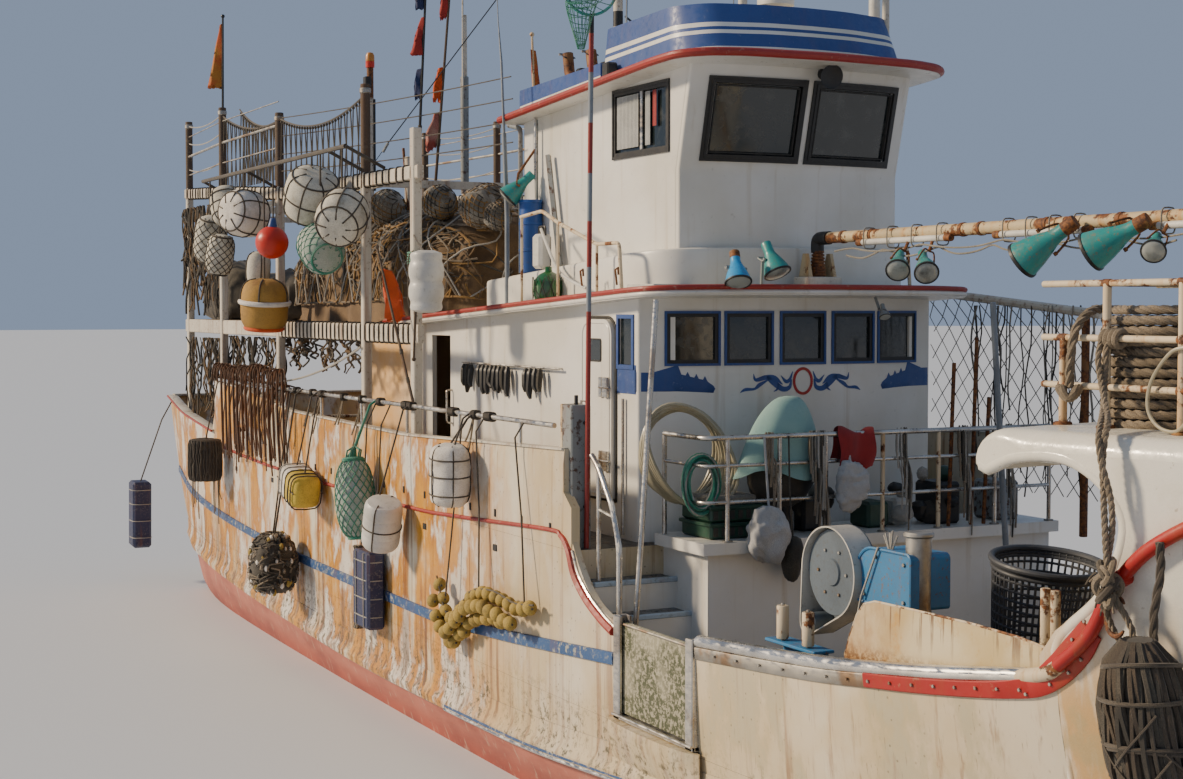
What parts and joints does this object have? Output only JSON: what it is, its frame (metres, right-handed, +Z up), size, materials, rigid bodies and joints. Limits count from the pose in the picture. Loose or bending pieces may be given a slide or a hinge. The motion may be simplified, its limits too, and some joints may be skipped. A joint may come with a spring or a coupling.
{
  "type": "line fishing boat",
  "caption": "Decked glass-fibre fishing boat: raised after body with deckhouse and wheelhouse, open well deck with line hauler, whaleback bow, and an after shelter hung with floats.",
  "frame": {"origin": "amidships on the centreline, at the waterline the boat floats on", "axes": "+X to the bow, +Y to port, +Z up"},
  "size_m": [28.075, 6.0016, 12.5],
  "materials": {
    "hull_paint": "faded red bottom paint below a stained cream topside",
    "topside_paint": "cream gelcoat with rust streaks and algae",
    "bottom_paint": "faded antifouling",
    "rail_grey": "worn grey ledge",
    "gelcoat": "weathered white gelcoat",
    "stainless": "stained bright pipe and half round",
    "worn_steel": "worn bare metal",
    "rusty_plate": "cream paint run over with rust",
    "rusty_pipe": "cream paint gone to rust",
    "blue_paint": "chipped blue paint",
    "blue_plastic": "sun-worn drum",
    "black_plastic": "matt mesh",
    "white_plastic": "satin radome",
    "mast_paint": "weathered white",
    "shelter_paint": "flaking white with rust",
    "bronze": "cast and dull",
    "net": "brown twine",
    "foam": "dirty foam",
    "rope": "old laid rope"
  },
  "bodies": {
    "root": {"hull": "hull_paint", "raised_afterbody": "topside_paint", "forecastle": "topside_paint", "keel": "bottom_paint", "rub_rail_starboard": "rail_grey", "rub_rail_port": "rail_grey", "bulwark_aft_starboard": "topside_paint", "bulwark_aft_port": "topside_paint", "bulwark_stern": "topside_paint", "bulwark_fore_starboard": "topside_paint", "bulwark_fore_port": "topside_paint", "bulwark_bow": "topside_paint", "splash_plate": "rusty_plate", "cap_rail_starboard": "stainless", "cap_rail_port": "stainless", "gate_frame": "stainless", "platform": "gelcoat", "platform_railing": "stainless", "deckhouse_front": "gelcoat", "deckhouse_side_starboard": "gelcoat", "deckhouse_side_port": "gelcoat", "deckhouse_back": "gelcoat", "deckhouse_roof": "gelcoat", "wheelhouse_base": "gelcoat", "wheelhouse_front": "gelcoat", "wheelhouse_side_starboard": "gelcoat", "wheelhouse_side_port": "gelcoat", "wheelhouse_back": "gelcoat", "wheelhouse_roof": "gelcoat", "mast": "mast_paint", "lamp_boom": "rusty_pipe", "foremast": "mast_paint", "shelter_frame_starboard": "shelter_paint", "shelter_frame_port": "shelter_paint", "shelter_deck": "shelter_paint", "shelter_beams": "shelter_paint", "net_heap": "net", "floats_starboard": "foam", "fender_rail_starboard": "stainless", "hauler_stand": "blue_paint", "roller_frame": "worn_steel", "hatch_coaming": "gelcoat", "rope_rack": "rusty_pipe", "rope_coil": "rope", "windlass_frame": "rusty_pipe", "barrel": "blue_plastic", "basket": "black_plastic", "bow_fender": "rope"},
    "propeller": {"propeller": "bronze"},
    "rudder": {"rudder": "bottom_paint"},
    "hauler_sheave": {"hauler_sheave": "worn_steel"},
    "side_roller_1": {"side_roller_1": "worn_steel"},
    "side_roller_2": {"side_roller_2": "worn_steel"},
    "door_starboard": {"door_starboard": "gelcoat"},
    "door_port": {"door_port": "gelcoat"},
    "door_wheelhouse": {"door_wheelhouse": "gelcoat"},
    "gate_board": {"gate_board": "topside_paint"},
    "hatch_lid": {"hatch_lid": "gelcoat"},
    "radar_bar": {"radar_bar": "white_plastic"},
    "windlass_drum": {"windlass_drum": "worn_steel"}
  },
  "joints": [
    {"name": "propeller_spin", "type": "hinge", "parent": "root", "child": "propeller", "pos_m": [-10.6, 0, -1.33], "axis": [1, 0, 0], "continuous": true},
    {"name": "rudder_turn", "type": "hinge", "parent": "root", "child": "rudder", "pos_m": [-11.5, 0, -1.3], "axis": [0, 0, 1], "range_deg": [-35, 35]},
    {"name": "hauler_spin", "type": "hinge", "parent": "root", "child": "hauler_sheave", "pos_m": [7, -1.98, 2.83], "axis": [0, 1, 0], "continuous": true},
    {"name": "side_roller_1_spin", "type": "hinge", "parent": "root", "child": "side_roller_1", "pos_m": [6.77, -2.36, 2.43], "axis": [0, 0, 1], "continuous": true},
    {"name": "side_roller_2_spin", "type": "hinge", "parent": "root", "child": "side_roller_2", "pos_m": [7.13, -2.36, 2.43], "axis": [0, 0, 1], "continuous": true},
    {"name": "door_starboard_swing", "type": "hinge", "parent": "root", "child": "door_starboard", "pos_m": [2.73, -1.803, 3.88], "axis": [0, 0, 1], "range_deg": [0, 95]},
    {"name": "door_port_swing", "type": "hinge", "parent": "root", "child": "door_port", "pos_m": [2.73, 1.803, 3.88], "axis": [0, 0, -1], "range_deg": [0, 95]},
    {"name": "door_wheelhouse_swing", "type": "hinge", "parent": "root", "child": "door_wheelhouse", "pos_m": [-0.513, -0.34, 6.14], "axis": [0, 0, 1], "range_deg": [0, 100]},
    {"name": "gate_lift", "type": "slide", "parent": "root", "child": "gate_board", "axis": [0, 0, 1], "range_m": [0, 0.55]},
    {"name": "hatch_lid_swing", "type": "hinge", "parent": "root", "child": "hatch_lid", "pos_m": [6.52, 0, 1.608], "axis": [0, 1, 0], "range_deg": [0, 100]},
    {"name": "radar_spin", "type": "hinge", "parent": "root", "child": "radar_bar", "pos_m": [2.9, 0, 8.36], "axis": [0, 0, 1], "continuous": true},
    {"name": "windlass_spin", "type": "hinge", "parent": "root", "child": "windlass_drum", "pos_m": [12.175, 0, 4.48], "axis": [0, 1, 0], "continuous": true}
  ]
}
